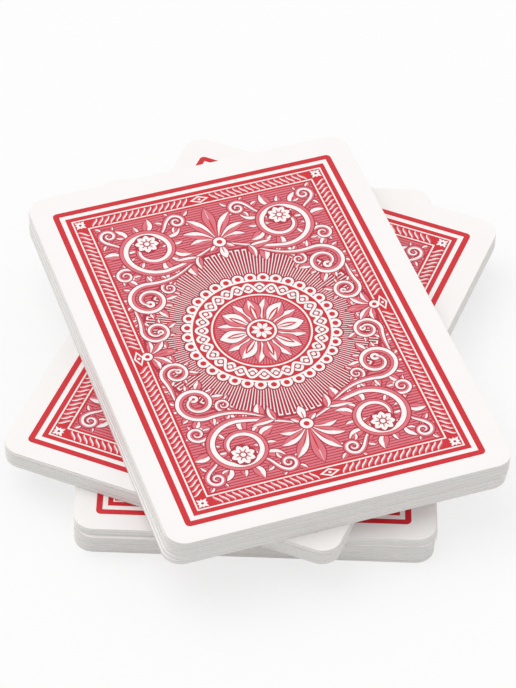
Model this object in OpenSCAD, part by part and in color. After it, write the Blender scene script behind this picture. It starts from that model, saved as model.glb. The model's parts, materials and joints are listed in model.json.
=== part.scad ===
// Deck of playing cards in three packets that lie crosswise on one another, backs up.
// Millimetres, +Z up, with the lower packet's long sides along Y.
// The origin is the centre of the lowest card's printed face, on the table.

/* [Card] */
// Width of a card, across its short side
card_w = 63.5; // [50:0.1:80]
// Length of a card, along its long side
card_l = 88.9; // [70:0.1:130]
// Thickness of the card stock
card_t = 0.26; // [0.2:0.01:0.5]
// Radius of the cut corners
corner_r = 3.5; // [1:0.1:12]

/* [Stack] */
// Air under each card that lies on another
card_gap = 0.02; // [0.01:0.005:0.1]
// Cards in the lower packet
lower_count = 22; // [2:1:24]
// Cards in the middle packet
middle_count = 13; // [2:1:24]

/* [Middle packet] */
// Turn of the packet from the lower one, seen from above
middle_turn = -20.4; // [-180:0.1:180]
// Offset of its centre to the right
middle_x = -0.5; // [-15:0.1:15]
// Offset of its centre to the back
middle_y = 1; // [-15:0.1:15]

/* [Upper packet] */
// Turn of the packet from the lower one, seen from above
upper_turn = 20.6; // [-180:0.1:180]
// Offset of its centre to the right
upper_x = 0; // [-15:0.1:15]
// Offset of its centre to the back
upper_y = -2.8; // [-15:0.1:15]

/* [Squaring] */
// Furthest that a card strays from its packet's centre, each way
stray_shift = 0.07; // [0:0.01:1]
// Furthest that a card is turned from its packet, in degrees
stray_turn = 0.06; // [0:0.01:1]
// Card of the lower packet that stands proud, counted from the table
proud_place = 16; // [2:1:24]
// How far the proud card stands out at the front
proud_out = 0.35; // [0:0.05:3]
// Turn of the proud card, in degrees
proud_turn = 0.5; // [-3:0.1:3]
// Cards in each of the loose steps at the foot of the upper packet
step_count = 3; // [1:1:5]
// Turn of each loose step from the cards above it, about the back left corner
step_turn = -0.2; // [-3:0.1:3]

/* [Hidden] */
RANKS = [
    "ace", "two", "three", "four", "five", "six", "seven",
    "eight", "nine", "ten", "jack", "queen", "king"
];
last_rank = len(RANKS) - 1;
function rising(suit) = [for (rank = RANKS) str(rank, "_of_", suit)];
function falling(suit) = [for (k = [last_rank : -1 : 0]) str(RANKS[k], "_of_", suit)];

// Every card by name, from the table up, in the order of a new deck
NODES = concat(
    rising("hearts"),
    rising("clubs"),
    falling("diamonds"),
    falling("spades"),
    ["black_joker", "red_joker"]
);

card_count = len(NODES);
pitch = card_t + card_gap;
middle_first = lower_count;
upper_first = lower_count + middle_count;
LOWER = 0;
MIDDLE = 1;
UPPER = 2;
packet_turn = [0, middle_turn, upper_turn];
packet_centre = [[0, 0], [middle_x, middle_y], [upper_x, upper_y]];
loose_steps = 2;
loose_count = loose_steps * step_count;

// Scatter of the squared cards, as shares of the strays above
scatter_seed = 11;
scatter_x = rands(-1, 1, card_count, scatter_seed);
scatter_y = rands(-1, 1, card_count, scatter_seed + 1);
scatter_turn = rands(-1, 1, card_count, scatter_seed + 2);

function packet_of(i) = i < middle_first ? LOWER : i < upper_first ? MIDDLE : UPPER;
function is_proud(i) = i == proud_place - 1 && packet_of(i) == LOWER;
function is_loose(i) = i >= upper_first && i < upper_first + loose_count;
function steps_above(i) = loose_steps - floor((i - upper_first) / step_count);

// Loose cards turn about the back left corner, where the packet stays square
loose_corner = [-card_w / 2, card_l / 2];
function loose_turn(i) = is_loose(i) ? step_turn * steps_above(i) : 0;
function turned(p, a) = [p[0] * cos(a) - p[1] * sin(a), p[0] * sin(a) + p[1] * cos(a)];
function loose_shift(i) = loose_corner - turned(loose_corner, loose_turn(i));

// The lowest card sets the place of the whole deck, so it doesn't stray
function stray(i) = [
    stray_shift * scatter_x[i],
    is_proud(i) ? -proud_out : stray_shift * scatter_y[i]
];
function shift_of(i) = i == 0 ? [0, 0] : stray(i) + loose_shift(i);
function turn_of(i) = i == 0 ? 0
    : is_proud(i) ? proud_turn
    : stray_turn * scatter_turn[i] + loose_turn(i);

// Outline of a card with round corners, centred
module card_outline() {
    square([card_w - 2 * corner_r, card_l], center = true);
    square([card_w, card_l - 2 * corner_r], center = true);
    for (x = [-1, 1], y = [-1, 1])
        translate([x * (card_w / 2 - corner_r), y * (card_l / 2 - corner_r)])
            circle(r = corner_r, $fn = 64);
}

// One card, at place i from the table
module card(i) {
    packet = packet_of(i);
    color("whitesmoke")
        translate([0, 0, i * pitch])
            translate(packet_centre[packet])
                rotate(packet_turn[packet])
                    translate(shift_of(i))
                        rotate(turn_of(i))
                            linear_extrude(card_t)
                                card_outline();
}

for (i = [0 : card_count - 1])
    card(i);
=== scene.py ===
import json
import math

import bpy
import numpy as np
from mathutils import Matrix, Vector
from mathutils.geometry import delaunay_2d_cdt

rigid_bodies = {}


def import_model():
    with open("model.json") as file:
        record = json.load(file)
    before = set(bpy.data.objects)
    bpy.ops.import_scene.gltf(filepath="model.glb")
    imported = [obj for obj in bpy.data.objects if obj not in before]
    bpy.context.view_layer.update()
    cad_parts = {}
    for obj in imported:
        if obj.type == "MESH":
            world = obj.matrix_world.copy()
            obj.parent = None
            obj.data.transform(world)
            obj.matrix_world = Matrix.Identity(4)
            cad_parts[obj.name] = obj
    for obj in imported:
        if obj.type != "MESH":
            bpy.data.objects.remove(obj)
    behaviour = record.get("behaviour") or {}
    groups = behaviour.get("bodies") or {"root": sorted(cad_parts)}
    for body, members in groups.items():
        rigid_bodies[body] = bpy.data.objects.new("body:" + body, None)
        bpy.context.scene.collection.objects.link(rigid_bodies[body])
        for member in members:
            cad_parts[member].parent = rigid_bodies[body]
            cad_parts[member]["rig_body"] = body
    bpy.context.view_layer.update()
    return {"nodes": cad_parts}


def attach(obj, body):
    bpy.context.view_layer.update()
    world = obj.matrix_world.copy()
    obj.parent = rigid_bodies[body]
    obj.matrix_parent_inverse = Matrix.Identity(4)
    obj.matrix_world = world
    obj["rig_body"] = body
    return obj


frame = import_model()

mm = 0.001  # the print is drawn in millimetres, the scene is in metres
print("frame loaded:", len(frame["nodes"]), "cards")


# Camera, at the angle from which the deck is seen

cameraSetup = {
    "place": (0.17, -407.30, 432.01),  # mm
    "aim": (-0.555, 7.5, 0.0),
    "roll": 1.923,  # degrees
    "lens": 167.67,
}


def makeCamera(setup):
    data = bpy.data.cameras.new("camera")
    data.lens = setup["lens"]
    data.sensor_width = 36
    data.clip_start = 0.05
    place = Vector(setup["place"]) * mm
    ahead = (Vector(setup["aim"]) * mm - place).normalized()
    level = ahead.cross(Vector((0, 0, 1))).normalized()
    upright = level.cross(ahead)
    roll = math.radians(setup["roll"])
    right = level * math.cos(roll) + upright * math.sin(roll)
    up = upright * math.cos(roll) - level * math.sin(roll)
    camera = bpy.data.objects.new("camera", data)
    camera.matrix_world = Matrix((
        (right.x, up.x, -ahead.x, place.x),
        (right.y, up.y, -ahead.y, place.y),
        (right.z, up.z, -ahead.z, place.z),
        (0, 0, 0, 1),
    ))
    bpy.context.scene.collection.objects.link(camera)
    bpy.context.scene.camera = camera


makeCamera(cameraSetup)
bpy.context.scene.view_settings.view_transform = "Standard"


# Colours and nodes

def hexToLinear(code):
    values = [int(code[k:k + 2], 16) / 255 for k in (1, 3, 5)]
    linear = [v / 12.92 if v <= 0.04045 else ((v + 0.055) / 1.055) ** 2.4 for v in values]
    return (*linear, 1)


def addNode(tree, kind, inputs=None, **settings):
    node = tree.nodes.new(kind)
    for name, value in settings.items():
        setattr(node, name, value)
    for socket, value in (inputs or {}).items():
        if isinstance(value, bpy.types.NodeSocket):
            tree.links.new(value, node.inputs[socket])
        else:
            node.inputs[socket].default_value = value
    return node


def newTree(owner):
    owner.use_nodes = True
    owner.node_tree.nodes.clear()
    return owner.node_tree


# Studio: a white sweep in a white tent, darker on the camera's side, and a broad lamp at the back left

studio = {
    "floorColour": "#FAFAFA",
    "floorGlow": 0.65,  # share of plain white that the camera sees in the floor
    "floorDrop": 0.02,  # mm under the lowest card
    "floorHalf": 4000,  # mm
    "tentColour": "#FFFFFF",
    "tentFront": 0.66,
    "tentBack": 0.94,
    "lampLevel": 0.7,
    "lampTurn": 150,  # degrees from +X, towards +Y
    "lampHeight": 64,  # degrees over the floor
    "lampSpread": 50,  # degrees across, for soft shadows
}


def makeStudio(setup):
    half = setup["floorHalf"] * mm
    drop = -setup["floorDrop"] * mm
    mesh = bpy.data.meshes.new("sweep")
    corners = [(-half, -half, drop), (half, -half, drop), (half, half, drop), (-half, half, drop)]
    mesh.from_pydata(corners, [], [(0, 1, 2, 3)])
    floor = bpy.data.objects.new("sweep", mesh)
    bpy.context.scene.collection.objects.link(floor)
    # matt backdrop paper: even, with no gloss, so that only the deck's shadow marks it
    paper = bpy.data.materials.new("matt backdrop paper")
    tree = newTree(paper)
    skin = addNode(tree, "ShaderNodeBsdfDiffuse", {"Color": hexToLinear(setup["floorColour"])})
    white = hexToLinear(setup["tentColour"])
    glow = addNode(tree, "ShaderNodeEmission", {"Color": white, "Strength": 1.0})
    ray = addNode(tree, "ShaderNodeLightPath")
    share = addNode(tree, "ShaderNodeMath", {0: ray.outputs["Is Camera Ray"], 1: setup["floorGlow"]},
                    operation="MULTIPLY")
    mixed = addNode(tree, "ShaderNodeMixShader",
                    {0: share.outputs[0], 1: skin.outputs[0], 2: glow.outputs[0]})
    addNode(tree, "ShaderNodeOutputMaterial", {"Surface": mixed.outputs[0]})
    mesh.materials.append(paper)

    tent = bpy.data.worlds.new("white tent")
    bpy.context.scene.world = tent
    tree = newTree(tent)
    spot = addNode(tree, "ShaderNodeTexCoord")
    way = addNode(tree, "ShaderNodeSeparateXYZ", {0: spot.outputs["Generated"]})
    level = addNode(tree, "ShaderNodeMapRange",
                    {"Value": way.outputs["Y"], "From Min": -1.0, "From Max": 1.0,
                     "To Min": setup["tentFront"], "To Max": setup["tentBack"]})
    lighting = addNode(tree, "ShaderNodeBackground", {"Color": white, "Strength": level.outputs[0]})
    seen = addNode(tree, "ShaderNodeBackground", {"Color": white, "Strength": 1.0})
    ray = addNode(tree, "ShaderNodeLightPath")
    either = addNode(tree, "ShaderNodeMath",
                     {0: ray.outputs["Is Camera Ray"], 1: ray.outputs["Is Glossy Ray"]},
                     operation="MAXIMUM")
    direct = addNode(tree, "ShaderNodeMath",
                     {0: either.outputs[0], 1: ray.outputs["Is Transmission Ray"]}, operation="MAXIMUM")
    mixed = addNode(tree, "ShaderNodeMixShader",
                    {0: direct.outputs[0], 1: lighting.outputs[0], 2: seen.outputs[0]})
    addNode(tree, "ShaderNodeOutputWorld", {"Surface": mixed.outputs[0]})

    lamp = bpy.data.lights.new("broad lamp", "SUN")
    lamp.energy = setup["lampLevel"]
    lamp.angle = math.radians(setup["lampSpread"])
    turn = math.radians(setup["lampTurn"])
    height = math.radians(setup["lampHeight"])
    reach = math.cos(height)
    towards = Vector((math.cos(turn) * reach, math.sin(turn) * reach, math.sin(height)))
    hung = bpy.data.objects.new("broad lamp", lamp)
    hung.rotation_mode = "QUATERNION"
    hung.rotation_quaternion = towards.to_track_quat("Z", "Y")
    hung.location = towards
    bpy.context.scene.collection.objects.link(hung)


makeStudio(studio)
print("camera and studio made")


# Card stock

stock = {
    "white": "#FCF9F8",
    "cream": "#F9F6F4",
    "edge": "#E8E6E3",
    "edgeGrey": "#D8D5D1",
    "glueLine": "#BAB9B8",
    "cloud": 7.0,  # mm, size of the faint tone changes in the board
    "fibre": 1.1,  # mm, streaks along a cut edge
    "dimple": 0.9,  # mm
    "pitch": 0.28,  # mm from one card to the next
    "glueAt": 0.46,  # place of the glue line, in pitches
    "glueHalf": 0.06,
    "glueFade": 0.14,
    "faceRough": 0.42,
    "edgeRough": 0.82,
    "roundOver": 0.035,  # mm, left by the cutting die
}


def embossing(tree, place, setup):
    # plate-embossed coat: real dimples are about 0.4 mm apart, drawn 0.9 mm apart so that they show
    dimples = addNode(tree, "ShaderNodeTexVoronoi", {"Vector": place, "Scale": 1000 / setup["dimple"]},
                      feature="SMOOTH_F1")
    return addNode(tree, "ShaderNodeBump",
                   {"Height": dimples.outputs["Distance"], "Strength": 0.06, "Distance": 0.00004})


def coatedBoard(setup):
    # Playing card board: two plies pasted with grey glue, clay coated, embossed, varnished and die cut.
    # The faces are an even satin white, and the cut edges show matt fibres and the glue line.
    material = bpy.data.materials.new("coated paperboard")
    tree = newTree(material)
    spot = addNode(tree, "ShaderNodeTexCoord")
    place = spot.outputs["Object"]
    cloud = addNode(tree, "ShaderNodeTexNoise",
                    {"Vector": place, "Scale": 1000 / setup["cloud"], "Detail": 3.0})
    face = addNode(tree, "ShaderNodeMix",
                   {0: cloud.outputs[0], 6: hexToLinear(setup["cream"]), 7: hexToLinear(setup["white"])},
                   data_type="RGBA")
    # one tone for each card, from its height in the stack
    axes = addNode(tree, "ShaderNodeSeparateXYZ", {0: place})
    storey = addNode(tree, "ShaderNodeMath",
                     {0: axes.outputs["Z"], 1: 1000 / setup["pitch"]}, operation="MULTIPLY")
    number = addNode(tree, "ShaderNodeMath", {0: storey.outputs[0]}, operation="FLOOR")
    tone = addNode(tree, "ShaderNodeTexWhiteNoise", {"W": number.outputs[0]}, noise_dimensions="1D")
    stretch = addNode(tree, "ShaderNodeMapping", {"Vector": place, "Scale": (1, 1, 9)})
    fibre = addNode(tree, "ShaderNodeTexNoise",
                    {"Vector": stretch.outputs[0], "Scale": 1000 / setup["fibre"],
                     "Detail": 4.0, "Roughness": 0.65})
    streak = addNode(tree, "ShaderNodeMath",
                     {0: tone.outputs["Value"], 1: fibre.outputs[0]}, operation="MULTIPLY")
    cut = addNode(tree, "ShaderNodeMix",
                  {0: streak.outputs[0], 6: hexToLinear(setup["edge"]), 7: hexToLinear(setup["edgeGrey"])},
                  data_type="RGBA")
    # the glue line is 0.02 mm in a real card and is drawn 0.06 mm so that it shows
    within = addNode(tree, "ShaderNodeMath", {0: storey.outputs[0]}, operation="FRACT")
    middle = addNode(tree, "ShaderNodeMath",
                     {0: within.outputs[0], 1: setup["glueAt"]}, operation="SUBTRACT")
    off = addNode(tree, "ShaderNodeMath", {0: middle.outputs[0]}, operation="ABSOLUTE")
    line = addNode(tree, "ShaderNodeMapRange",
                   {"Value": off.outputs[0], "From Min": setup["glueHalf"], "From Max": setup["glueFade"],
                    "To Min": 0.5, "To Max": 0.0})
    glued = addNode(tree, "ShaderNodeMix",
                    {0: line.outputs[0], 6: cut.outputs[2], 7: hexToLinear(setup["glueLine"])},
                    data_type="RGBA")
    # faces look up or down, edges sideways
    facing = addNode(tree, "ShaderNodeSeparateXYZ", {0: spot.outputs["Normal"]})
    upright = addNode(tree, "ShaderNodeMath", {0: facing.outputs["Z"]}, operation="ABSOLUTE")
    flat = addNode(tree, "ShaderNodeMapRange",
                   {"Value": upright.outputs[0], "From Min": 0.55, "From Max": 0.9})
    colour = addNode(tree, "ShaderNodeMix",
                     {0: flat.outputs[0], 6: glued.outputs[2], 7: face.outputs[2]}, data_type="RGBA")
    rough = addNode(tree, "ShaderNodeMapRange",
                    {"Value": flat.outputs[0], "To Min": setup["edgeRough"], "To Max": setup["faceRough"]})
    bump = embossing(tree, place, setup)
    skin = addNode(tree, "ShaderNodeBsdfPrincipled",
                   {"Base Color": colour.outputs[2], "Roughness": rough.outputs[0], "IOR": 1.48,
                    "Specular IOR Level": 0.4, "Normal": bump.outputs[0]})
    addNode(tree, "ShaderNodeOutputMaterial", {"Surface": skin.outputs[0]})
    return material


board = coatedBoard(stock)


def plainShading():
    # the solids come with normals of their own, which don't suit rounded edges
    tree = bpy.data.node_groups.new("plain shading", "GeometryNodeTree")
    for way in ("INPUT", "OUTPUT"):
        tree.interface.new_socket("Geometry", in_out=way, socket_type="NodeSocketGeometry")
    given = addNode(tree, "NodeGroupInput")
    plain = addNode(tree, "GeometryNodeRemoveAttribute", {0: given.outputs[0], "Name": "custom_normal"})
    smooth = addNode(tree, "GeometryNodeSetShadeSmooth", {0: plain.outputs[0], "Shade Smooth": True})
    addNode(tree, "NodeGroupOutput", {0: smooth.outputs[0]})
    return tree


def dressCards(setup):
    shading = plainShading()
    for card in frame["nodes"].values():
        card.data.materials.clear()
        card.data.materials.append(board)
        card.modifiers.new("plain shading", "NODES").node_group = shading
        weld = card.modifiers.new("weld", "WELD")
        weld.merge_threshold = 0.000002
        bevel = card.modifiers.new("round over", "BEVEL")
        bevel.width = setup["roundOver"] * mm
        bevel.segments = 2
        bevel.limit_method = "ANGLE"
        bevel.angle_limit = math.radians(40)
        crisp = card.modifiers.new("crisp faces", "EDGE_SPLIT")
        crisp.split_angle = math.radians(18)
        crisp.use_edge_sharp = False


dressCards(stock)
print("card stock dressed")


# Inks

inks = {
    "red": ("litho ink red", "#D6222E", "#CE1C29"),
    "pink": ("litho ink rose tint", "#E27884", "#DC6F7B"),
    "deep": ("litho ink crimson", "#B6243A", "#AC1F35"),
    "tint": ("litho ink mid rose", "#D86674", "#D15F6D"),
    "black": ("litho ink black", "#232021", "#1B1819"),
    "ochre": ("litho ink ochre", "#DDA73F", "#D59D35"),
}
inkFilm = {
    "mottle": 2.4,  # mm
    "grain": 0.5,  # mm
    "rough": 0.4,
}


def lithoInk(name, light, dark, setup):
    # Offset ink on coated board under varnish: a thin even film, mottled where the paper drinks it,
    # with the satin gloss and the dimples of the board beneath.
    material = bpy.data.materials.new(name)
    tree = newTree(material)
    place = addNode(tree, "ShaderNodeTexCoord").outputs["Object"]
    mottle = addNode(tree, "ShaderNodeTexNoise",
                     {"Vector": place, "Scale": 1000 / setup["mottle"], "Detail": 3.0})
    grain = addNode(tree, "ShaderNodeTexNoise",
                    {"Vector": place, "Scale": 1000 / setup["grain"], "Detail": 2.0})
    both = addNode(tree, "ShaderNodeMath",
                   {0: mottle.outputs[0], 1: grain.outputs[0]}, operation="MULTIPLY")
    take = addNode(tree, "ShaderNodeMapRange",
                   {"Value": both.outputs[0], "From Min": 0.12, "From Max": 0.4})
    colour = addNode(tree, "ShaderNodeMix",
                     {0: take.outputs[0], 6: hexToLinear(dark), 7: hexToLinear(light)}, data_type="RGBA")
    bump = embossing(tree, place, stock)
    skin = addNode(tree, "ShaderNodeBsdfPrincipled",
                   {"Base Color": colour.outputs[2], "Roughness": setup["rough"], "IOR": 1.48,
                    "Specular IOR Level": 0.4, "Normal": bump.outputs[0]})
    addNode(tree, "ShaderNodeOutputMaterial", {"Surface": skin.outputs[0]})
    return material


inkOrder = list(inks)
inkMaterials = [lithoInk(*inks[ink], inkFilm) for ink in inkOrder]


# Shapes for the printing plates, in millimetres

def polar(radius, deg, cx=0.0, cy=0.0):
    return (cx + radius * math.cos(math.radians(deg)), cy + radius * math.sin(math.radians(deg)))


def turned(points, deg, cx=0.0, cy=0.0):
    c = math.cos(math.radians(deg))
    s = math.sin(math.radians(deg))
    return [(cx + x * c - y * s, cy + x * s + y * c) for x, y in points]


def arc(cx, cy, radius, startDeg, endDeg, count):
    return [polar(radius, startDeg + (endDeg - startDeg) * k / count, cx, cy) for k in range(count + 1)]


def disc(cx, cy, radius, count=28):
    return arc(cx, cy, radius, 0, 360, count)[:-1]


def bezier(p0, p1, p2, p3, count):
    path = []
    for k in range(count + 1):
        t = k / count
        shares = ((1 - t) ** 3, 3 * t * (1 - t) ** 2, 3 * t * t * (1 - t), t ** 3)
        path.append(tuple(sum(w * p[axis] for w, p in zip(shares, (p0, p1, p2, p3))) for axis in (0, 1)))
    return path


def volute(cx, cy, outer, inner, startDeg, turns, count):
    path = []
    for k in range(count + 1):
        t = k / count
        path.append(polar(outer + (inner - outer) * t ** 0.85, startDeg + 360 * turns * t, cx, cy))
    return path


def ribbon(path, widthAt, grow=0.0, low=-1.0, high=1.0):
    # low and high are the sides of the strip, from -1 at the right edge of the run to 1 at its left
    last = len(path) - 1
    left = []
    right = []
    for k, (x, y) in enumerate(path):
        xa, ya = path[max(k - 1, 0)]
        xb, yb = path[min(k + 1, last)]
        run = math.hypot(xb - xa, yb - ya) or 1e-9
        nx = (ya - yb) / run
        ny = (xb - xa) / run
        half = widthAt(k / last) / 2
        left.append((x + nx * (half * high + grow), y + ny * (half * high + grow)))
        right.append((x + nx * (half * low - grow), y + ny * (half * low - grow)))
    return left + right[::-1]


def swell(first, full, final, peak=0.5):
    def widthAt(t):
        if t < peak:
            return first + (full - first) * math.sin(t / peak * math.pi / 2)
        return final + (full - final) * math.cos((t - peak) / (1 - peak) * math.pi / 2)
    return widthAt


def leafShape(x, y, deg, length, width, curl=0.0, grow=0.0, belly=0.42, count=12, low=-1.0, high=1.0):
    # a pointed leaf from its foot at x, y; curl bends its tip to the left
    power = math.log(0.5) / math.log(belly)
    whole = length + 2 * grow
    path = []
    for k in range(count + 1):
        t = k / count
        path.append((whole * t - grow, curl * length * t * t))

    def widthAt(t):
        return (width + 2 * grow) * math.sin(math.pi * min(t, 1.0) ** power)
    return turned(ribbon(path, widthAt, 0, low, high), deg, x, y)


def placeOn(path, share):
    k = round(share * (len(path) - 1))
    xa, ya = path[max(k - 1, 0)]
    xb, yb = path[min(k + 1, len(path) - 1)]
    return path[k], math.degrees(math.atan2(yb - ya, xb - xa))


# Back design: one quarter of it, mirrored both ways
# A plate is a list of inks and outlines, the later on top

def layLeaf(plate, x, y, deg, length, width, curl=0.0, belly=0.42, vein=0.2):
    # outline, white leaf, one half in the tint, and a vein
    plate.append(("deep", leafShape(x, y, deg, length, width, curl, 0.2, belly)))
    plate.append(("paper", leafShape(x, y, deg, length, width, curl, 0, belly)))
    plate.append(("pink", leafShape(x, y, deg, length, width, curl, 0, belly, 12, -1.0, -0.05)))
    plate.append(("red", leafShape(x, y, deg, length * 0.7, vein, curl * 0.7, 0, belly, 8)))


ground = {
    "half": (22.0, 34.7),
    "linePitch": 0.62,
    "lineWidth": 0.2,
    "haloRadius": 21.4,
    "rays": 200,
    "rayFrom": 14.2,
    "rayTo": (20.8, 21.3),  # short and long by turns
    "rayWidth": (0.3, 0.46),  # at the inner and outer ends
}


def layGround(plate, setup):
    halfX, halfY = setup["half"]
    plate.append(("pink", [(-1, -1), (halfX, -1), (halfX, halfY), (-1, halfY)]))
    y = 0.9
    while y < halfY:
        low = y - setup["lineWidth"] / 2
        high = y + setup["lineWidth"] / 2
        plate.append(("deep", [(-1, low), (halfX, low), (halfX, high), (-1, high)]))
        y += setup["linePitch"]
    halo = setup["haloRadius"]
    slim, broad = setup["rayWidth"]
    plate.append(("paper", disc(0, 0, halo, 96)))
    for k in range(setup["rays"] // 4 + 1):
        run = [(setup["rayFrom"], 0), (setup["rayTo"][k % 2], 0)]
        ray = ribbon(run, lambda t: slim + (broad - slim) * t)
        plate.append(("deep", turned(ray, 360 * (k + 0.5) / setup["rays"])))
    plate.append(("deep", ribbon(arc(0, 0, halo, -4, 94, 40), lambda t: 0.5)))


def vineRun(start, startDeg, centre, outer, inner, meetDeg, turns, count=60, reach=0.42):
    # a stem that leaves at startDeg and runs into a volute round centre
    side = 1 if turns > 0 else -1
    meet = polar(outer, meetDeg, *centre)
    gap = math.hypot(meet[0] - start[0], meet[1] - start[1]) * reach
    stem = bezier(start, polar(gap, startDeg, *start), polar(-gap, meetDeg + 90 * side, *meet), meet, 20)
    return stem[:-1] + volute(*centre, outer, inner, meetDeg, turns, count)


def layVine(plate, path, full, eye, first=0.3, final=0.5, peak=0.4):
    widthAt = swell(first, full, final, peak)
    x, y = path[-1]
    plate.append(("deep", ribbon(path, widthAt, 0.22)))
    if eye:
        plate.append(("deep", disc(x, y, eye + 0.22)))
    plate.append(("paper", ribbon(path, widthAt)))
    if eye:
        plate.append(("paper", disc(x, y, eye)))
        plate.append(("red", disc(x, y, eye * 0.36, 12)))
    # shaded side, parted from the white by a fine line
    plate.append(("pink", ribbon(path, widthAt, 0, -1.0, -0.2)))
    if full > 0.9:
        plate.append(("red", ribbon(path, widthAt, 0, -0.3, -0.12)))


vines = {
    "bigCentre": (12.7, 25.7),
    "midCentre": (17.0, 13.5),
    "lowCentre": (18.2, 5.5),
    "topCentre": (6.0, 31.6),
    "cornerCentre": (19.2, 31.6),
    "sideCentre": (19.3, 20.6),
    "innerCentre": (12.6, 15.3),
    "bigWidth": 1.6,
    "midWidth": 1.25,
    "lowWidth": 1.0,
    "curlWidth": 0.85,
    "innerWidth": 0.7,
}
# fringes of leaves as (first share of the run, last share, leaves, degrees off it, long, short)
vineFringes = {
    "big": ((0.12, 0.70, 17, -44, 3.6, 2.3), (0.27, 0.60, 8, 54, 2.2, 1.6)),
    "mid": ((0.10, 0.22, 3, 46, 2.2, 1.8), (0.27, 0.66, 10, 46, 2.7, 1.9)),
    "low": ((0.16, 0.70, 9, 46, 2.2, 1.5),),
    "top": ((0.16, 0.74, 6, -46, 1.9, 1.4), (0.2, 0.34, 2, 40, 2.0, 1.6)),
    "corner": ((0.2, 0.74, 6, -46, 1.8, 1.3),),
    "side": ((0.2, 0.70, 5, 46, 1.8, 1.3),),
    "inner": ((0.34, 0.74, 4, 46, 1.5, 1.2),),
}


def layFringe(plate, path, first, final, count, off, long, short):
    for k in range(count):
        (x, y), deg = placeOn(path, first + (final - first) * k / (count - 1))
        length = short if k % 2 else long
        layLeaf(plate, x, y, deg + off, length, 0.5 * length, math.copysign(0.5, off), 0.58)


def layVines(plate, setup, fringes):
    big = vineRun((0, 24.0), -28, setup["bigCentre"], 6.3, 1.9, -100, 1.5, 80, 0.38)
    mid = vineRun((5.4, 21.0), -38, setup["midCentre"], 3.9, 1.1, 100, -1.5, 60, 0.4)
    runs = {"big": big, "mid": mid}
    start, deg = placeOn(mid, 0.39)
    runs["low"] = vineRun(start, deg + 8, setup["lowCentre"], 2.6, 0.75, 15, -1.45, 48)
    start, deg = placeOn(big, 0.52)
    runs["top"] = vineRun(start, deg - 8, setup["topCentre"], 1.75, 0.4, 80, 1.3, 40)
    start, deg = placeOn(big, 0.37)
    runs["corner"] = vineRun(start, deg - 30, setup["cornerCentre"], 1.75, 0.4, -20, 1.3, 40)
    start, deg = placeOn(big, 0.27)
    runs["side"] = vineRun(start, deg - 20, setup["sideCentre"], 1.65, 0.4, 110, -1.3, 40)
    start, deg = placeOn(mid, 0.19)
    runs["inner"] = vineRun(start, deg - 20, setup["innerCentre"], 1.4, 0.35, 75, -1.3, 36)
    for name, path in runs.items():
        for fringe in fringes.get(name, ()):
            layFringe(plate, path, *fringe)
    for name in ("top", "corner", "side"):
        layVine(plate, runs[name], setup["curlWidth"], 0, 0.3, 0.3, 0.35)
    layVine(plate, runs["inner"], setup["innerWidth"], 0, 0.3, 0.25, 0.35)
    layVine(plate, runs["low"], setup["lowWidth"], 0.6)
    layVine(plate, mid, setup["midWidth"], 0.85)
    layVine(plate, big, setup["bigWidth"], 0)
    # leaf sheaths where the second run leaves the first
    layLeaf(plate, 4.7, 21.2, -4, 4.8, 1.4, 0.2)
    layLeaf(plate, 4.8, 21.5, -66, 3.4, 1.3, -0.3)
    x, y = big[-1]
    plate.append(("deep", disc(x, y, 2.45, 36)))
    for k in range(8):
        plate.append(("paper", leafShape(x, y, 45 * k + 10, 2.25, 1.2, 0, 0, 0.66)))
    for k in range(8):
        plate.append(("red", leafShape(x, y, 45 * k + 10, 1.5, 0.22, 0, 0, 0.66)))
    plate.append(("deep", disc(x, y, 0.74, 16)))
    plate.append(("paper", disc(x, y, 0.5, 16)))


medallion = {
    "scallops": 36,
    "scallopRing": 13.5,
    "lobes": 16,
    "braidRing": 10.9,
    "braidSwing": 1.02,
    "petals": 8,
}


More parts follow.
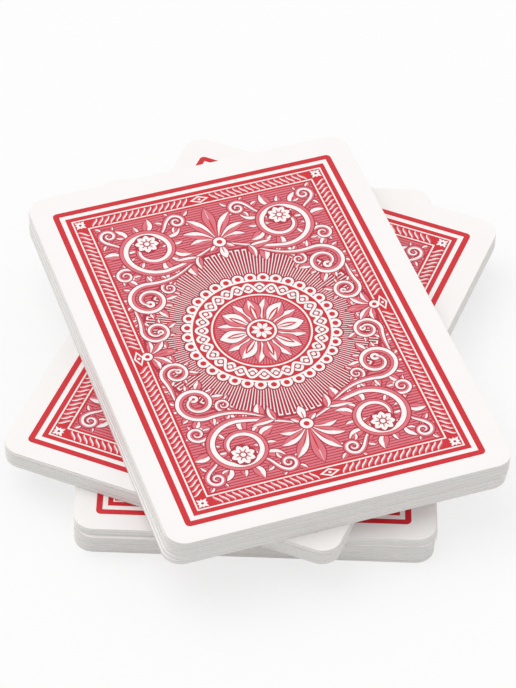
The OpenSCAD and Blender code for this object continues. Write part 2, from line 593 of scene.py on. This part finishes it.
def layMedallion(plate, setup):
    step = 360 / setup["scallops"]
    ring = setup["scallopRing"]
    quarter = range(setup["scallops"] // 4 + 1)
    plate.append(("deep", disc(0, 0, 14.3, 96)))
    for k in quarter:
        plate.append(("deep", disc(*polar(ring, step * k), 1.4, 20)))
    for k in quarter:
        plate.append(("paper", disc(*polar(ring, step * k), 1.12, 20)))
        plate.append(("red", disc(*polar(ring + 0.05, step * k), 0.55, 12)))
    plate.append(("paper", disc(0, 0, 12.95, 120)))
    plate.append(("red", disc(0, 0, 12.55, 120)))
    for phase in (0, 180):
        path = []
        for k in range(97):
            deg = -6 + 102 * k / 96
            wave = math.sin(math.radians(deg * setup["lobes"] + phase))
            path.append(polar(setup["braidRing"] + setup["braidSwing"] * wave, deg))
        plate.append(("deep", ribbon(path, lambda t: 0.82)))
        plate.append(("paper", ribbon(path, lambda t: 0.52)))
    for k in range(setup["lobes"] // 2 + 1):
        spot = polar(setup["braidRing"], 180 * (k + 0.5) / setup["lobes"])
        plate.append(("paper", disc(*spot, 0.42, 14)))
    plate.append(("paper", disc(0, 0, 9.25, 96)))
    plate.append(("red", disc(0, 0, 8.9, 96)))
    plate.append(("pink", disc(0, 0, 8.5, 96)))
    for k in range(25):
        plate.append(("deep", turned(ribbon([(5.5, 0), (8.5, 0)], lambda t: 0.17), 3.75 * (k + 0.5))))
    wide = 360 / setup["petals"]
    for k in range(-1, 3):
        layLeaf(plate, *polar(2.4, wide * (k + 0.5)), wide * (k + 0.5), 5.8, 2.0, 0, 0.55, 0.3)
    for k in range(-1, 4):
        x, y = polar(1.8, wide * k)
        plate.append(("deep", leafShape(x, y, wide * k, 6.3, 3.0, 0, 0.2, 0.6, 16)))
        plate.append(("paper", leafShape(x, y, wide * k, 6.25, 3.0, 0, 0, 0.6, 16)))
        plate.append(("pink", leafShape(x, y, wide * k, 6.25, 3.0, 0, 0, 0.6, 16, -1.0, -0.35)))
        plate.append(("red", leafShape(x, y, wide * k, 4.9, 1.1, 0, 0, 0.62)))
        plate.append(("paper", leafShape(x, y, wide * k, 4.4, 0.44, 0, 0, 0.62)))
    plate.append(("deep", disc(0, 0, 3.0, 40)))
    plate.append(("paper", disc(0, 0, 2.75, 40)))
    plate.append(("red", disc(0, 0, 2.3, 40)))
    for k in range(-1, 5):
        plate.append(("paper", leafShape(0, 0, wide * k, 2.05, 0.85, 0, 0, 0.62)))
    plate.append(("red", disc(0, 0, 0.45, 16)))


# petals as (degrees off the axis, length, width, curl), for the fans at the ends and sides of the field
fans = {
    "pendant": ((40, 3.0, 1.1, 0.2), (-40, 3.0, 1.1, -0.2), (0, 4.4, 1.5, 0)),
    "crown": ((62, 5.0, 1.6, 0.42), (-62, 5.0, 1.6, -0.42), (42, 6.6, 1.8, 0.32), (-42, 6.6, 1.8, -0.32),
              (20, 8.0, 1.9, 0.2), (-20, 8.0, 1.9, -0.2), (0, 9.2, 2.2, 0)),
    "flank": ((52, 3.6, 1.2, 0.36), (-52, 3.6, 1.2, -0.36), (27, 4.6, 1.3, 0.22), (-27, 4.6, 1.3, -0.22),
              (0, 5.4, 1.5, 0)),
}


def layFan(plate, cx, cy, deg, petals):
    for off, length, width, curl in petals:
        layLeaf(plate, cx, cy, deg + off, length, width, curl, 0.66, width * 0.14)


def layBoss(plate, cx, cy, radius):
    plate.append(("deep", disc(cx, cy, radius + 0.25)))
    plate.append(("paper", disc(cx, cy, radius)))
    plate.append(("red", disc(cx, cy, radius * 0.45, 14)))


def layFans(plate, setup):
    layFan(plate, 0, 24.0, -90, setup["pendant"])
    layFan(plate, 0, 24.3, 90, setup["crown"])
    layBoss(plate, 0, 24.0, 1.2)
    layFan(plate, 21.6, 0, 180, setup["flank"])


# border strips as (ink, outer half width, outer half length, width), from the inside out
border = {
    "strips": (
        ("red", 21.95, 34.63, 0.45), ("paper", 22.25, 34.93, 0.3), ("red", 24.45, 37.13, 2.2),
        ("paper", 24.75, 37.43, 0.3), ("red", 25.65, 38.33, 0.9), ("red", 27.65, 40.33, 1.1),
    ),
    "outerRound": 0.9,
    "ropeX": 23.35,
    "ropeY": 36.03,
    "ropePitch": 1.18,
}


def layBorder(plate, setup):
    for ink, halfX, halfY, width in setup["strips"]:
        if halfX == setup["strips"][-1][1]:
            bend = setup["outerRound"]
            corner = arc(halfX - bend, halfY - bend, bend, 0, 90, 8)
        else:
            corner = [(halfX, halfY)]
        inner = [(-1, halfY - width), (halfX - width, halfY - width)]
        plate.append((ink, [(halfX - width, -1), (halfX, -1)] + corner + [(-1, halfY)] + inner))
    layBoss(plate, 21.75, 0, 0.95)
    x = setup["ropeX"]
    y = setup["ropeY"]
    pitch = setup["ropePitch"]
    places = [(x, 2.85 + pitch * k, 0) for k in range(27)]
    places += [(2.9 + pitch * k, y, 90) for k in range(16)]
    path = bezier((-0.98, -0.62), (-0.2, -0.62), (0.2, 0.62), (0.98, 0.62), 10)
    for cx, cy, deg in places:
        plate.append(("paper", turned(ribbon(path, swell(0.22, 0.56, 0.22)), deg, cx, cy)))
        plate.append(("pink", turned(ribbon(path, swell(0.22, 0.56, 0.22), 0, -1.0, 0.0), deg, cx, cy)))
    for k in range(4):
        plate.append(("paper", leafShape(x, y, 45 + 90 * k, 1.3, 0.62)))
        plate.append(("paper", leafShape(x, y, 90 * k, 1.0, 0.5)))
    plate.append(("deep", disc(x, y, 0.26, 12)))
    lozenge = [(-1.9, 0), (0, -0.95), (1.9, 0), (0, 0.95)]
    for cx, cy, deg in ((x, 0, 90), (0, y, 0)):
        plate.append(("paper", turned(lozenge, deg, cx, cy)))
        plate.append(("red", turned([(px * 0.66, py * 0.62) for px, py in lozenge], deg, cx, cy)))
        plate.append(("paper", disc(cx, cy, 0.28, 12)))


def backPlate():
    plate = []
    layGround(plate, ground)
    layVines(plate, vines, vineFringes)
    layMedallion(plate, medallion)
    layFans(plate, fans)
    layBorder(plate, border)
    return plate


def outlineArea(outline):
    a = np.array(outline)
    b = np.roll(a, -1, 0)
    return abs((a[:, 0] * b[:, 1] - a[:, 1] * b[:, 0]).sum()) / 2


def coarser(outline, slack):
    # leaves out the points that stand less than slack off a straight line
    kept = [outline[0]]
    start = 0
    for k in range(2, len(outline)):
        xa, ya = outline[start]
        xb, yb = outline[k]
        run = math.hypot(xb - xa, yb - ya) or 1e-9
        off = [abs((xb - xa) * (y - ya) - (x - xa) * (yb - ya)) / run for x, y in outline[start + 1:k]]
        if max(off) > slack:
            start = k - 1
            kept.append(outline[start])
    return kept + [outline[-1]]


covered = {"leastMark": 0.9, "slack": 0.08}  # mm2 and mm


def coveredPlate(setup):
    # a covered card only ever shows its border and corners, in a packet that is twisted open,
    # so it has the same print without its shading and finest marks, and one tint for the lined ground
    halfX, halfY = ground["half"]
    plate = [("tint", [(-1, -1), (halfX, -1), (halfX, halfY), (-1, halfY)])]
    layVines(plate, vines, {})
    layMedallion(plate, medallion)
    layFans(plate, fans)
    layBorder(plate, border)
    kept = [mark for mark in plate if mark[0] != "pink" and outlineArea(mark[1]) > setup["leastMark"]]
    return [(ink, coarser(outline, setup["slack"])) for ink, outline in kept]


# Faces: suit marks in the usual places, an index in two corners, emblems on the courts and jokers

def heartShape():
    side = bezier((0, -0.5), (-0.16, -0.27), (-0.48, -0.06), (-0.46, 0.21), 8)
    side += bezier((-0.46, 0.21), (-0.44, 0.52), (-0.08, 0.55), (0, 0.27), 8)[1:]
    return side + [(-x, y) for x, y in side[-2:0:-1]]


def box(halfX, halfY, cx=0.0, cy=0.0):
    sides = ((-1, -1), (1, -1), (1, 1), (-1, 1))
    return [(cx + halfX * x, cy + halfY * y) for x, y in sides]


markFoot = [(-0.03, 0), (-0.05, -0.28), (-0.2, -0.5), (0.2, -0.5), (0.05, -0.28), (0.03, 0)]
star = [polar(0.21 if k % 2 else 0.5, 90 + 36 * k) for k in range(10)]
# outlines of a mark that is 1 high
marks = {
    "hearts": ("red", [heartShape()]),
    "diamonds": ("red", [[(0, -0.5), (0.38, 0), (0, 0.5), (-0.38, 0)]]),
    "spades": ("black", [[(x * 0.96, 0.1 - y * 0.8) for x, y in heartShape()], markFoot]),
    "clubs": ("black", [disc(0, 0.25, 0.25), disc(-0.25, -0.1, 0.25), disc(0.25, -0.1, 0.25), markFoot]),
    "red_joker": ("red", [star]),
    "black_joker": ("black", [star]),
}
# strokes of an index that is 1 high
hook = bezier((0.5, 0.98), (0.25, 0.9), (0.02, 0.6), (0.02, 0.3), 8)
hook += arc(0.3, 0.29, 0.28, 180, 540, 18)[1:]
oval = [(0.3 + x, 0.5 + 1.6 * y) for x, y in arc(0, 0, 0.3, 0, 360, 20)]
indexStrokes = {
    "ace": ([(0, 0), (0.31, 1)], [(0.31, 1), (0.62, 0)], [(0.12, 0.32), (0.5, 0.32)]),
    "two": (arc(0.3, 0.71, 0.27, 165, -38, 10) + [(0, 0.02)], [(0, 0.02), (0.6, 0.02)]),
    "three": (arc(0.27, 0.74, 0.24, 150, -80, 10), arc(0.27, 0.26, 0.26, 80, -150, 10)),
    "four": ([(0.46, 0), (0.46, 0.97)], [(0.46, 0.97), (0, 0.3)], [(0, 0.3), (0.62, 0.3)]),
    "five": ([(0.54, 0.98), (0.1, 0.98)], [(0.1, 0.98), (0.09, 0.55)], arc(0.28, 0.31, 0.3, 125, -150, 12)),
    "six": (hook,),
    "seven": ([(0, 0.98), (0.58, 0.98)], [(0.58, 0.98), (0.2, 0)]),
    "eight": (arc(0.3, 0.75, 0.22, 0, 360, 16), arc(0.3, 0.27, 0.27, 0, 360, 18)),
    "nine": (turned(hook, 180, 0.6, 1),),
    "ten": ([(0.02, 0), (0.02, 1)], [(0.2 + 0.7 * x, y) for x, y in oval]),
    "jack": ([(0.46, 1)] + arc(0.23, 0.26, 0.23, 0, -165, 10),),
    "queen": (oval, [(0.34, 0.26), (0.64, -0.06)]),
    "king": ([(0.04, 0), (0.04, 1)], [(0.6, 1), (0.04, 0.36)], [(0.22, 0.56), (0.62, 0)]),
}
# places of the marks in columns and rows: those that are repeated upside down, then those that aren't
pips = {
    "ace": ((), ((0, 0),)),
    "two": (((0, 1),), ()),
    "three": (((0, 1),), ((0, 0),)),
    "four": (((-1, 1), (1, 1)), ()),
    "five": (((-1, 1), (1, 1)), ((0, 0),)),
    "six": (((-1, 1), (1, 1)), ((-1, 0), (1, 0))),
    "seven": (((-1, 1), (1, 1)), ((-1, 0), (1, 0), (0, 0.5))),
    "eight": (((-1, 1), (1, 1), (0, 0.5)), ((-1, 0), (1, 0))),
    "nine": (((-1, 1), (1, 1), (-1, 1 / 3), (1, 1 / 3)), ((0, 0),)),
    "ten": (((-1, 1), (1, 1), (-1, 1 / 3), (1, 1 / 3), (0, 2 / 3)), ()),
}
# points of a crown as (place along its band, length, width)
crowns = {
    "jack": ((-3, 9, 5.0), (3, 12, 6.0)),
    "queen": ((-7, 8, 4.6), (7, 8, 4.6), (0, 11, 6.0)),
    "king": ((-8, 9, 3.0), (8, 9, 3.0), (-4, 11, 3.2), (4, 11, 3.2), (0, 13, 3.6)),
}
faceLayout = {  # mm
    "column": 10.5,
    "row": 28.5,
    "mark": 9.5,
    "aceMark": 20.0,
    "corner": (-27.3, 37.4),
    "index": 6.2,
    "indexMark": 5.0,
    "stroke": 1.0,
    "panel": (20.5, 33.5),
    "band": 3.0,
    "horn": 17.0,
}


def layMark(plate, suit, x, y, size, deg):
    ink, outlines = marks[suit]
    for outline in outlines:
        plate.append((ink, turned([(px * size, py * size) for px, py in outline], deg, x, y)))


def layIndex(plate, rank, suit, setup):
    size = setup["index"]
    ink = marks[suit][0]
    x, y = setup["corner"]
    for deg in (0, 180):
        for stroke in indexStrokes.get(rank, ()):
            path = [(x + (px - 0.31) * size, y + (py - 0.5) * size) for px, py in stroke]
            plate.append((ink, turned(ribbon(path, lambda t: setup["stroke"]), deg)))
            for end in (path[0], path[-1]):
                plate.append((ink, turned(disc(*end, setup["stroke"] / 2, 12), deg)))
        layMark(plate, suit, *turned([(x, y - size)], deg)[0], setup["indexMark"], deg)


def layPips(plate, rank, suit, setup):
    paired, single = pips[rank]
    size = setup["aceMark"] if rank == "ace" else setup["mark"]
    for column, row in paired + single:
        layMark(plate, suit, column * setup["column"], row * setup["row"], size, 0)
    for column, row in paired:
        layMark(plate, suit, -column * setup["column"], -row * setup["row"], size, 180)


def layCourt(plate, rank, suit, setup):
    halfX, halfY = setup["panel"]
    band = setup["band"]
    for ink, inset in (("black", 0), ("paper", 0.35), (marks[suit][0], 0.9), ("paper", 1.2)):
        plate.append((ink, box(halfX - inset, halfY - inset)))
    plate.append(("black", box(halfX - 1.2, band + 0.35)))
    plate.append(("ochre", box(halfX - 1.2, band)))
    for k in range(-3, 4):
        lozenge = [(5.4 * k + 4.6 * px, 4.6 * py) for px, py in disc(0, 0, 0.5, 4)]
        plate.append(("black" if k % 2 else "red", lozenge))
    for deg in (0, 180):
        layMark(plate, suit, *turned([(8 - halfX, halfY - 9)], deg)[0], 9, deg)
        for place, length, width in crowns[rank]:
            lean = 90 - 2 * place
            plate.append(("black", turned(leafShape(place, 9, lean, length, width, 0, 0.3), deg)))
            plate.append(("ochre", turned(leafShape(place, 9, lean, length, width), deg)))
            plate.append(("red", turned(leafShape(place, 9, lean, length * 0.7, width * 0.4), deg)))
            plate.append(("black", turned(disc(*polar(length, lean, place, 9), 1.1, 16), deg)))
        plate.append(("black", turned(box(10.3, 2.0, 0, 8), deg)))
        plate.append(("red", turned(box(10.0, 1.7, 0, 8), deg)))


def layJoker(plate, suit, setup):
    length = setup["horn"]
    for k in range(5):
        deg = 90 + 72 * k
        tip = turned([(length, 0.45 * length)], deg)[0]
        plate.append(("black", leafShape(0, 0, deg, length, 9, 0.45, 0.35)))
        plate.append(("ochre" if k % 2 else marks[suit][0], leafShape(0, 0, deg, length, 9, 0.45)))
        plate.append(("black", disc(*tip, 1.9)))
        plate.append(("ochre", disc(*tip, 1.5)))
    plate.append(("black", disc(0, 0, 6.2, 40)))
    plate.append(("paper", disc(0, 0, 5.7, 40)))
    layMark(plate, suit, 0, 0, 9, 0)


def facePlate(card, setup):
    plate = []
    rank, _, suit = card.rpartition("_of_")
    if rank in crowns:
        layCourt(plate, rank, suit, setup)
    elif rank in pips:
        layPips(plate, rank, suit, setup)
    else:
        layJoker(plate, suit, setup)
    layIndex(plate, rank, suit, setup)
    return plate


# Printing: a plate becomes one flat layer of ink, with bare board where its top colour is paper

def insideOutline(px, py, outline):
    x0 = outline[:, 0]
    y0 = outline[:, 1]
    x1 = np.roll(x0, -1)
    y1 = np.roll(y0, -1)
    left = (x1 - x0) * (py[:, None] - y0) - (px[:, None] - x0) * (y1 - y0)
    rising = (y0 <= py[:, None]) & (y1 > py[:, None]) & (left > 0)
    falling = (y0 > py[:, None]) & (y1 <= py[:, None]) & (left < 0)
    return rising.sum(1) != falling.sum(1)


def topInks(plate, spots, low, high):
    printed = np.full(len(spots), -1)
    for ink, outline in plate:
        corners = np.array(outline)
        near = np.nonzero(((spots > corners.min(0)) & (spots < corners.max(0))).all(1))[0]
        if len(near):
            hit = near[insideOutline(spots[near, 0], spots[near, 1], corners)]
            printed[hit] = inkOrder.index(ink) if ink in inks else -1
    printed[((spots < low) | (spots > high)).any(1)] = -1
    return printed


def cutFlat(points, edges):
    cut = delaunay_2d_cdt([Vector(p) for p in points], edges, [], 0, 0.00005, False)
    return np.array([tuple(p) for p in cut[0]]), np.array([tuple(t) for t in cut[2]])


def inkChanges(triangles, printed):
    # the sides where one ink ends and another begins
    sides = np.concatenate([triangles[:, pair] for pair in ((0, 1), (1, 2), (2, 0))])
    pairs, index = np.unique(np.sort(sides, 1), axis=0, return_inverse=True)
    least = np.full(len(pairs), len(inks))
    most = np.full(len(pairs), -1)
    np.minimum.at(least, index.reshape(-1), np.tile(printed, 3))
    np.maximum.at(most, index.reshape(-1), np.tile(printed, 3))
    return pairs[least != most]


def separateInks(plate, low, high):
    # every outline is cut into the flat, and each triangle takes the ink on top of it
    points = [low, (high[0], low[1]), high, (low[0], high[1])]
    edges = [(0, 1), (1, 2), (2, 3), (3, 0)]
    for ink, outline in plate:
        first = len(points)
        count = len(outline)
        points += outline
        edges += [(first + k, first + (k + 1) % count) for k in range(count)]
    places, triangles = cutFlat(points, edges)
    printed = topInks(plate, places[triangles].mean(1), low, high)
    # the flat is cut again along the lines that show, which takes far fewer triangles
    used, order = np.unique(inkChanges(triangles, printed), return_inverse=True)
    places, triangles = cutFlat(places[used], order.reshape(-1, 2).tolist())
    printed = topInks(plate, places[triangles].mean(1), low, high)
    spans = places[triangles[:, 1:]] - places[triangles[:, :1]]
    area = spans[:, 0, 0] * spans[:, 1, 1] - spans[:, 0, 1] * spans[:, 1, 0]
    kept = (printed >= 0) & (abs(area) > 1e-7)
    used, order = np.unique(triangles[kept], return_inverse=True)
    return places[used], order.reshape(-1, 3), printed[kept]


printing = {
    "backHalf": (27.65, 40.33),  # mm, to the outer edge of the border
    "faceHalf": (31.75, 44.45),
    "offCentre": (-0.235, -0.617),  # mm, as the sheet was cut
    "lift": 0.008,  # mm over the board, less than the air under the next card
    "faceDrop": 0.005,  # mm under the board, which leaves it clear of the ink on the next back
    "wholeBacks": ("nine_of_clubs", "five_of_diamonds", "black_joker", "red_joker"),
    "tiles": 3,  # maps along each side of a card's square of maps
    "tileFill": 0.31,
    "tileEdge": 0.01,
}


def backSheet(plate, setup):
    # one quarter, mirrored both ways
    places, triangles, printed = separateInks(plate, (0, 0), setup["backHalf"])
    ways = ((1, 1), (-1, 1), (-1, -1), (1, -1))
    spots = np.concatenate([places * way for way in ways]) + setup["offCentre"]
    corners = []
    for k in range(len(ways)):
        facing = triangles if k % 2 == 0 else triangles[:, ::-1]
        corners.append(facing + k * len(places))
    return spots, np.concatenate(corners), np.tile(printed, len(ways))


def faceSheet(plate, setup):
    # drawn as it is read from below, so mirrored here, which also turns it to look down
    halfX, halfY = setup["faceHalf"]
    places, triangles, printed = separateInks(plate, (-halfX, -halfY), (halfX, halfY))
    return places * (-1, 1), triangles, printed


def inkMesh(name, back, front, thick, setup):
    # both sheets of a card, measured from the top of its board
    spots = np.concatenate((back[0], front[0]))
    corners = np.concatenate((back[1], front[1] + len(back[0])))
    printed = np.concatenate((back[2], front[2]))
    flat = np.zeros((len(spots), 3))
    flat[:, :2] = spots * mm
    flat[:, 2] = setup["lift"] * mm
    flat[len(back[0]):, 2] = -thick - setup["faceDrop"] * mm
    mesh = bpy.data.meshes.new(name)
    mesh.from_pydata(flat.tolist(), [], corners.tolist())
    for material in inkMaterials:
        mesh.materials.append(material)
    mesh.polygons.foreach_set("material_index", printed.astype(np.int32))
    # a map of its own for each ink, so that no fine line borrows its neighbour's colour;
    # the back has no black or ochre, so only the red is in both sheets and has a map for each
    chart = printed.copy()
    chart[len(back[1]):][front[2] == inkOrder.index("red")] = len(inks)
    layer = mesh.uv_layers.new(name="OFBake")
    halfX, halfY = setup["faceHalf"]
    tiles = setup["tiles"]
    across = (spots + (halfX, halfY)) * setup["tileFill"] / (2 * halfY)
    tile = np.stack((chart % tiles, chart // tiles), 1) / tiles + setup["tileEdge"]
    layer.data.foreach_set("uv", (across[corners] + tile[:, None]).reshape(-1))
    mesh.update()
    return mesh


wholeBack = backSheet(backPlate(), printing)
print("whole back:", len(wholeBack[1]), "triangles")
coveredBack = backSheet(coveredPlate(covered), printing)
print("covered back:", len(coveredBack[1]), "triangles")


def cardPlace(card):
    mesh = frame["nodes"][card].data
    corners = np.array([v.co for v in mesh.vertices])
    centre = (corners.min(0) + corners.max(0)) / 2
    sides = [p for p in mesh.polygons if abs(p.normal.z) < 0.1 and p.normal.x > 0]
    longest = max(sides, key=lambda p: p.area)
    turn = math.atan2(longest.normal.y, longest.normal.x)
    return centre, corners[:, 2].min(), corners[:, 2].max(), turn


def printCards(setup):
    for card, node in frame["nodes"].items():
        centre, low, high, turn = cardPlace(card)
        back = wholeBack if card in setup["wholeBacks"] else coveredBack
        front = faceSheet(facePlate(card, faceLayout), setup)
        mesh = inkMesh(card + "_print", back, front, high - low, setup)
        sheet = bpy.data.objects.new(card + "_print", mesh)
        spot = Matrix.Translation((centre[0], centre[1], high))
        sheet.matrix_world = spot @ Matrix.Rotation(turn, 4, "Z")
        bpy.context.scene.collection.objects.link(sheet)
        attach(sheet, node["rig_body"])


printCards(printing)
print("cards printed")

bpy.context.view_layer.update()
